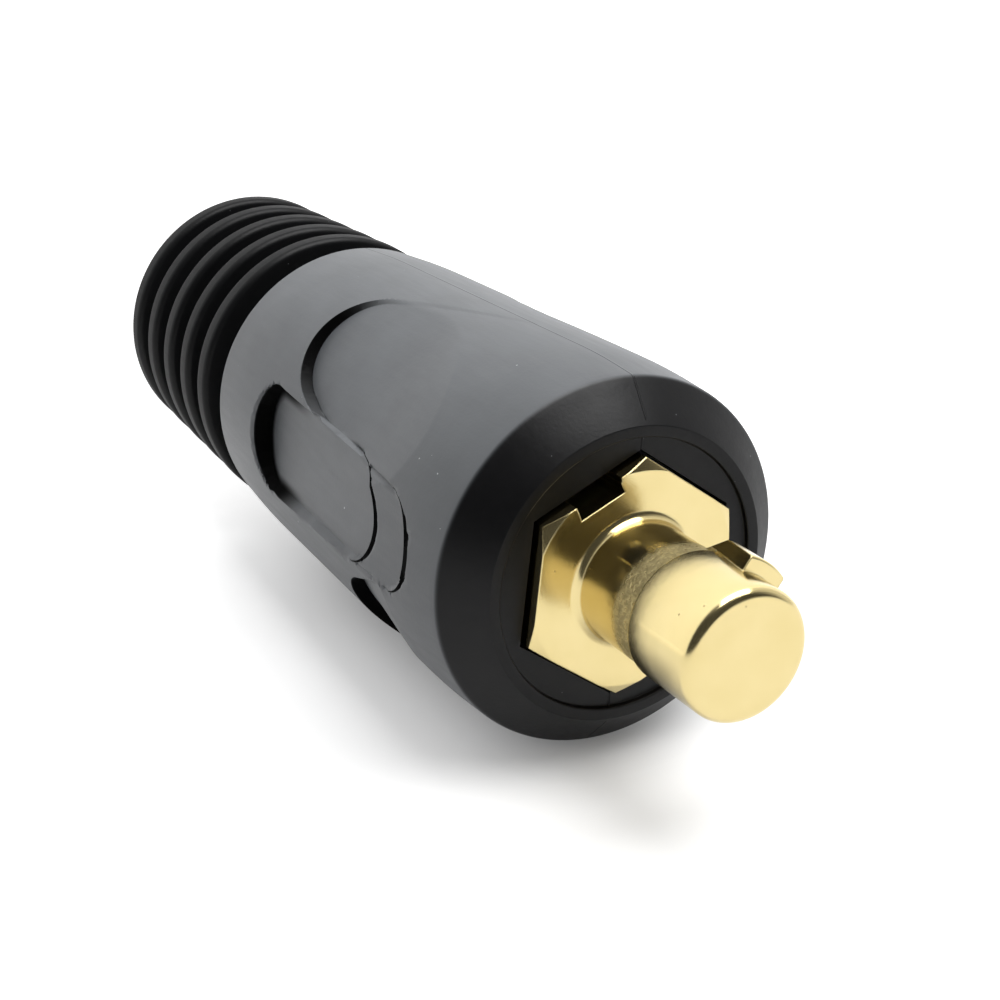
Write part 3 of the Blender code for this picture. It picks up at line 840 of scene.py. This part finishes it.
rib_corners = [
    (13.0, -1.6, 0),
    (TUBE_RADIUS, -1.58, 0.25),
    (16.1, -1.25, 0.75),
    (16.1, 1.25, 0.75),
    (TUBE_RADIUS, 1.58, 0.25),
    (13.0, 1.6, 0),
    (13.0, -1.6, 0),
]
rib_section = section("rib section", list(reversed(rounded(rib_corners, 6))))
rib = add_object("rib", turn_section("rib", rib_section, 240, rubber))
rib_sizes = {
    "Rib": rib,
    "Count": 5,
    "First height": 1.6 * MM,
    "Pitch": 6.25 * MM,
    "Growth": 0.0135,
    "Material": rubber,
}
ribs_mesh = grow("boot ribs", bpy.data.meshes.new("empty"), ribs_tree(), rib_sizes)
bpy.data.objects.remove(rib)
piece("sleeve", sleeve_mesh, "sleeve", "rubber_sleeve")
piece("boot_ribs", ribs_mesh, "sleeve", "rubber_sleeve")
print("boot ribs:", len(ribs_mesh.polygons), "faces")

# %% [markdown]
# The contact is turned from bar, and then milled. The turned form gives the pin, neck, round flange,
# socket and bore. A second tree does the milling: it sets copies of a cutter round the axis and cuts
# or joins them in one Boolean. Six boxes make the flange's flats, one bar makes the key slot, two
# drills make the screws' holes, and one block becomes the bayonet nib.

# %% Geometry tree: work round the axis
def axis_tree(name, operation):
    sockets = {
        "Tool": "Object",
        "Count": "Int",
        "First angle": "Float",
        "Height": "Float",
        "Material": "Material",
    }
    tree, given = new_geometry_tree(name, sockets)
    tool = tree.add("GeometryNodeObjectInfo", None, {"Object": given["Tool"]}, out="Geometry")
    points = tree.add("GeometryNodePoints", None, {"Count": given["Count"]})
    index = tree.add("GeometryNodeInputIndex")
    lift = tree.join(0.0, 0.0, given["Height"])
    placed = tree.add("GeometryNodeSetPosition", None, {"Geometry": points, "Position": lift})
    angle = given["First angle"] + index * (2 * math.pi) / given["Count"]
    inputs = {"Points": placed, "Instance": tool, "Rotation": tree.join(0.0, 0.0, angle)}
    copies = tree.add("GeometryNodeInstanceOnPoints", None, inputs)
    tools = tree.add("GeometryNodeRealizeInstances", None, {0: copies})
    if operation == "DIFFERENCE":
        inputs = {"Mesh 1": given["Geometry"], "Mesh 2": tools}
    else:
        inputs = {"Mesh 2": [given["Geometry"], tools]}
    inputs["Self Intersection"] = True
    settings = {"operation": operation, "solver": "EXACT"}
    worked = tree.add("GeometryNodeMeshBoolean", settings, inputs)
    return finish_tree(tree, worked, given["Material"])


def as_tool(name, made):
    """Turns a bmesh into an object and frees the bmesh."""
    mesh = bpy.data.meshes.new(name)
    made.to_mesh(mesh)
    made.free()
    return add_object(name, mesh)


def block(name, across, outward, upward, taper=0.0):
    """A block that faces -Y: its (low, high) sizes are round the plug, outward and upward, in mm."""
    made = bmesh.new()
    bmesh.ops.create_cube(made, size=1.0)
    for corner in made.verts:
        top = corner.co.z > 0
        x = across[1] if corner.co.x > 0 else across[0]
        if taper and corner.co.x > 0 and not top:
            x -= taper
        y = outward[1] if corner.co.y < 0 else outward[0]
        z = upward[1] if top else upward[0]
        corner.co = Vector((x, -y, z)) * MM
    return as_tool(name, made)


def cylinder(sides, radius, depth, place, tilt=0.0):
    """A cylinder with its sizes and its middle in mm, tilted about X. Its place is in its mesh."""
    bpy.ops.mesh.primitive_cylinder_add(
        vertices=sides,
        radius=radius * MM,
        depth=depth * MM,
        location=[v * MM for v in place],
        rotation=(tilt, 0, 0),
    )
    tool = bpy.context.object
    tool.data.transform(tool.matrix_world)
    tool.matrix_world = Matrix.Identity(4)
    return tool


def work(mesh, tree, tool, count=1, first=0.0, height=0.0, material=None):
    inputs = {
        "Tool": tool,
        "Count": count,
        "First angle": math.radians(first),
        "Height": height * MM,
        "Material": material,
    }
    return grow(mesh.name, mesh, tree, inputs)


cut_round = axis_tree("Cuts round the axis", "DIFFERENCE")
join_round = axis_tree("Joins round the axis", "UNION")
print("trees:", cut_round.name, "and", join_round.name)

# %% [markdown]
# The contact's section starts at the pin's tip, runs down the outside past the neck and the flange to
# the barrel's mouth, and goes back up the cable bore, which ends in the cone of a drill.

# %% The contact, turned
PIN_TIP = 113.3
PIN_RADIUS = 6.5
NECK_RADIUS = 6.15
FLANGE_FRONT = 94.9
FLANGE_REAR = 87.9
FLANGE_RADIUS = 12.5
BARREL_RADIUS = 9.5
BARREL_END = 54.9
CABLE_RADIUS = 5.5


def contact_corners():
    return [
        (0, PIN_TIP, 0),
        (PIN_RADIUS, PIN_TIP, 1.0),
        (PIN_RADIUS, PIN_REAR + 0.15, 0.1),
        (PIN_RADIUS - 0.15, PIN_REAR, 0.05),
        (NECK_RADIUS, PIN_REAR, 0.1),
        (NECK_RADIUS, FLANGE_FRONT, 0.9),
        (10.9, FLANGE_FRONT, 0.1),
        (FLANGE_RADIUS, 93.98, 0),
        (FLANGE_RADIUS, FLANGE_REAR, 0),
        (BARREL_RADIUS, FLANGE_REAR, 0.2),
        (BARREL_RADIUS, BARREL_END + 0.5, 0.1),
        (BARREL_RADIUS - 0.5, BARREL_END, 0.1),
        (CABLE_RADIUS + 0.5, BARREL_END, 0.1),
        (CABLE_RADIUS, BARREL_END + 0.5, 0.1),
        (CABLE_RADIUS, 81.9, 0.2),
        (0, 85.2, 0),
    ]


contact_line = divided(rounded(contact_corners(), 6), lambda point: 2.0)
contact_mesh = turn_section("contact", section("contact section", contact_line), 180, brass)
print("contact:", len(contact_mesh.polygons), "faces before milling")

# %% [markdown]
# The slot is filed rather than milled, so its cutter has a small tooth at one end and a slightly
# uneven side. The nib is a block trimmed to a smooth round top, with a ramp down to the neck.

# %% The contact, milled
SCREW_HEIGHTS = {"screw_rear": 62.9, "screw_front": 73.9}


def nib_tool():
    """The bayonet nib: a block cut by a turned shape that gives its top, ramp and front."""
    corners = [
        (0, 109.1, 0),
        (8.0, 109.1, 0.3),
        (8.0, 104.6, 1.2),
        (5.9, 101.8, 0),
        (0, 101.8, 0),
    ]
    line = section("nib trim", rounded(corners, 6))
    rough = block("nib", across=(-2.5, 2.5), outward=(3.0, 9.5), upward=(99.5, 111.0), taper=1.9)
    trim = add_object("nib trim", turn_section("nib trim", line, 180, brass))
    step = rough.modifiers.new("Trim", "BOOLEAN")
    step.object = trim
    step.operation = "INTERSECT"
    mesh = frozen(rough)
    rough.modifiers.clear()
    rough.data = mesh
    bpy.data.objects.remove(trim)
    return rough


def slot_tool():
    """The key slot's cutter: an outline (across, outward) in mm, drawn up past the flange."""
    outline = [
        (-2.5, 8.85),
        (-2.45, 9.9),
        (-2.7, 10.15),
        (-2.55, 14),
        (2.55, 14),
        (2.45, 9.6),
        (2.52, 8.9),
    ]
    made = bmesh.new()
    low, high = [
        [made.verts.new(Vector((x, -y, z)) * MM) for x, y in outline] for z in (85.0, 97.0)
    ]
    made.faces.new(low)
    made.faces.new(list(reversed(high)))
    for i in range(len(outline)):
        k = (i + 1) % len(outline)
        made.faces.new((low[k], low[i], high[i], high[k]))
    bmesh.ops.recalc_face_normals(made, faces=made.faces)
    return as_tool("slot", made)


flat = block("flat", across=(-8, 8), outward=(10.4, 16), upward=(86, 97))
nib = nib_tool()
slot = slot_tool()
drill = cylinder(64, 4.3, 12, (0, -6, 0), math.pi / 2)
contact_mesh = work(contact_mesh, cut_round, flat, count=6, first=30, material=brass)
contact_mesh = work(contact_mesh, join_round, nib, first=-31, material=brass)
contact_mesh = work(contact_mesh, cut_round, slot, first=30, material=brass)
for height in SCREW_HEIGHTS.values():
    contact_mesh = work(contact_mesh, cut_round, drill, height=height, material=brass)
for tool in (flat, nib, slot, drill):
    bpy.data.objects.remove(tool)
shade(contact_mesh, 30)
piece("contact", contact_mesh, "contact", "brass_contact")
print("contact:", len(contact_mesh.polygons), "faces after milling")

# %% [markdown]
# Two set screws hold the cable in the barrel. They hide under the sleeve and show when the contact
# is drawn out. Each is turned with its thread grooves and a bevel at both ends, then gets a hexagon
# socket, and is laid on its side so that the socket faces the parting line.

# %% Clamp screws
SCREW_RADIUS = 4.0
SCREW_LENGTH = 6.0
SCREW_END = -2.8  # the place of its inner end, towards the parting line
THREAD_ROOT = 3.6
THREAD_PITCH = 0.75
SOCKET_APOTHEM = 2.0


def screw_corners():
    corners = [(0, SCREW_LENGTH), (3.5, SCREW_LENGTH)]
    height = 5.55
    while height > 0.7:
        corners.append((SCREW_RADIUS, height))
        corners.append((SCREW_RADIUS, height - 0.25))
        corners.append((THREAD_ROOT, height - 0.5))
        height -= THREAD_PITCH
    return corners + [(SCREW_RADIUS, 0.5), (3.5, 0), (0, 0)]


def screw_mesh(name, height):
    """One screw, laid on its side at this height."""
    line = [Vector(corner) for corner in screw_corners()]
    blank = turn_section(name, section(name, line), 72, steel)
    key = cylinder(6, SOCKET_APOTHEM / math.cos(math.pi / 6), 6, (0, 0, SCREW_LENGTH))
    mesh = work(blank, cut_round, key, material=steel)
    bpy.data.objects.remove(key)
    lay = Matrix.Rotation(math.pi / 2, 4, "X")
    mesh.transform(Matrix.Translation((0, SCREW_END * MM, height * MM)) @ lay)
    shade(mesh, 30)
    return mesh


for name, height in SCREW_HEIGHTS.items():
    screw = piece(name, screw_mesh(name, height), name, f"clamp_{name}")
    print(name, "has", len(screw.data.polygons), "faces")

# %% [markdown]
# The photo's table is white. The plug stands on its boot in this scene, so the table is a board
# beside it, a quarter of a millimetre from its nose rim and its last rib, and a floor under it.
# Both keep the plug's shadow: their own glow adds to the lamp's light, so that only the lit parts
# reach full white. The board shows one face only, so it never hides the plug from behind.

# %% Table and floor
TABLE_UP = Vector((0.122, -0.993, 0.0)).normalized()
TABLE_SIDE = Vector((0, 0, 1)).cross(TABLE_UP)
TABLE_GAP = 0.25  # mm, so that the slightly bulging grip stays clear of the board
RIB_RADIUS = 16.15
BOARD = 1.5  # metres, the board's length and half its width
FLOOR = 2.0  # metres, half the floor's width


def table_material(one_sided):
    """White, with a glow that paints light into the corner of board and floor, where less light comes,
    and that is weak right under the plug, which paints its shadow darker where it is deepest."""
    material, tree = new_material("white table")
    x, y, z = tree.split(tree.add("ShaderNodeTexCoord", out="Object"))
    corner = 1.0 - tree.ease(z / (55 * MM))
    aside = abs(x * TABLE_SIDE.x + y * TABLE_SIDE.y)
    shadow_under = (1.0 - tree.ease(aside / (19 * MM))) * tree.ease(z / (60 * MM))
    shadow_under = shadow_under * (1.0 - tree.ease((z - 86 * MM) / (16 * MM)))
    kinds = ["Is Camera Ray", "Is Glossy Ray", "Is Transmission Ray"]
    direct, mirrored, through = tree.add("ShaderNodeLightPath", out=kinds)
    seen = tree.most(tree.most(direct, mirrored), through)
    paint = tree.add("ShaderNodeBsdfDiffuse", None, {"Color": (0.6, 0.6, 0.6, 1)})
    # painted light in the corner of board and floor, painted shadow right under the plug
    strength = seen * (0.50 + corner * 0.6 - shadow_under * 0.42)
    glow = tree.add("ShaderNodeEmission", None, {"Color": (1, 1, 1, 1), "Strength": strength})
    both = tree.add("ShaderNodeAddShader", None, {0: paint, 1: glow})
    if one_sided:
        back = tree.add("ShaderNodeNewGeometry", out="Backfacing")
        clear = tree.add("ShaderNodeBsdfTransparent")
        both = tree.add("ShaderNodeMixShader", None, {0: back, 1: both, 2: clear})
    surface(tree, both)
    return material


def sheet(name, corners, material):
    mesh = bpy.data.meshes.new(name)
    mesh.from_pydata([tuple(corner) for corner in corners], [], [(0, 1, 2, 3)])
    mesh.materials.append(material)
    made = add_object(name, mesh)
    return made


nose_touch = -TABLE_UP * (NOSE_RADIUS + TABLE_GAP) * MM + Vector((0, 0, 84 * MM))
tail_touch = -TABLE_UP * (RIB_RADIUS + TABLE_GAP) * MM + Vector((0, 0, 1.6 * MM))
slope = (nose_touch - tail_touch).normalized()
low_edge = tail_touch - slope * 2.0 * MM
high_edge = tail_touch + slope * BOARD
half_width = TABLE_SIDE * BOARD
board_corners = [
    low_edge - half_width,
    low_edge + half_width,
    high_edge + half_width,
    high_edge - half_width,
]
board = sheet("table", board_corners, table_material(True))
if board.data.polygons[0].normal.dot(TABLE_UP) < 0:
    board.data.flip_normals()
floor_corners = [(-FLOOR, -FLOOR, 0), (FLOOR, -FLOOR, 0), (FLOOR, FLOOR, 0), (-FLOOR, FLOOR, 0)]
sheet("floor", floor_corners, table_material(False))
print("board leans by", round(math.degrees(slope.angle(Vector((0, 0, 1)))), 1), "degrees")

# %% [markdown]
# Light: one wide soft lamp from above and to the right of the photo, and a pale room. What the brass
# mirrors matters most. The room is white around and behind the plug, and dark above its nose, so the
# nose reads black and the pin gets its dark line.

# %% Light and world
LAMP_SIZE = 0.45
LAMP_DISTANCE = 0.6
LAMP_POWER = 4.8
DARK_SIDE = tuple(Vector((0.30, 0.05, 0.95)).normalized())
WHITE = (1, 1, 1, 1)

middle = Vector((0, 0, 55 * MM))
towards_lamp = (TABLE_UP + RIGHT * 0.35 - LOOK * 0.15).normalized()
soft_box = bpy.data.lights.new("soft box", "AREA")
soft_box.shape = "SQUARE"
soft_box.size = LAMP_SIZE
soft_box.energy = LAMP_POWER
lamp = add_object("soft box", soft_box)
facing = towards_lamp.to_track_quat("Z", "Y").to_matrix().to_4x4()
lamp.matrix_world = Matrix.Translation(middle + towards_lamp * LAMP_DISTANCE) @ facing

world = bpy.data.worlds.new("white room")
bpy.context.scene.world = world
world.use_nodes = True
world.node_tree.nodes.clear()
sky = Tree(world.node_tree)
direction = sky.add("ShaderNodeTexCoord", out="Generated")
settings = {"operation": "DOT_PRODUCT"}
ahead = sky.add("ShaderNodeVectorMath", settings, {0: direction, 1: DARK_SIDE}, out="Value")
dark = sky.ease((ahead + 0.15) / 0.65)
room = sky.add("ShaderNodeBackground", None, {"Color": WHITE, "Strength": 1.0 - dark * 0.92})
white = sky.add("ShaderNodeBackground", None, {"Color": WHITE, "Strength": 1.0})
is_camera = sky.add("ShaderNodeLightPath", out="Is Camera Ray")
mixed = sky.add("ShaderNodeMixShader", None, {0: is_camera, 1: room, 2: white})
sky.add("ShaderNodeOutputWorld", None, {"Surface": mixed})
bpy.context.scene.view_settings.view_transform = "Standard"
print("light is ready")

# %% [markdown]
# Last, the script says that the scene is built.


print("the scene is built")
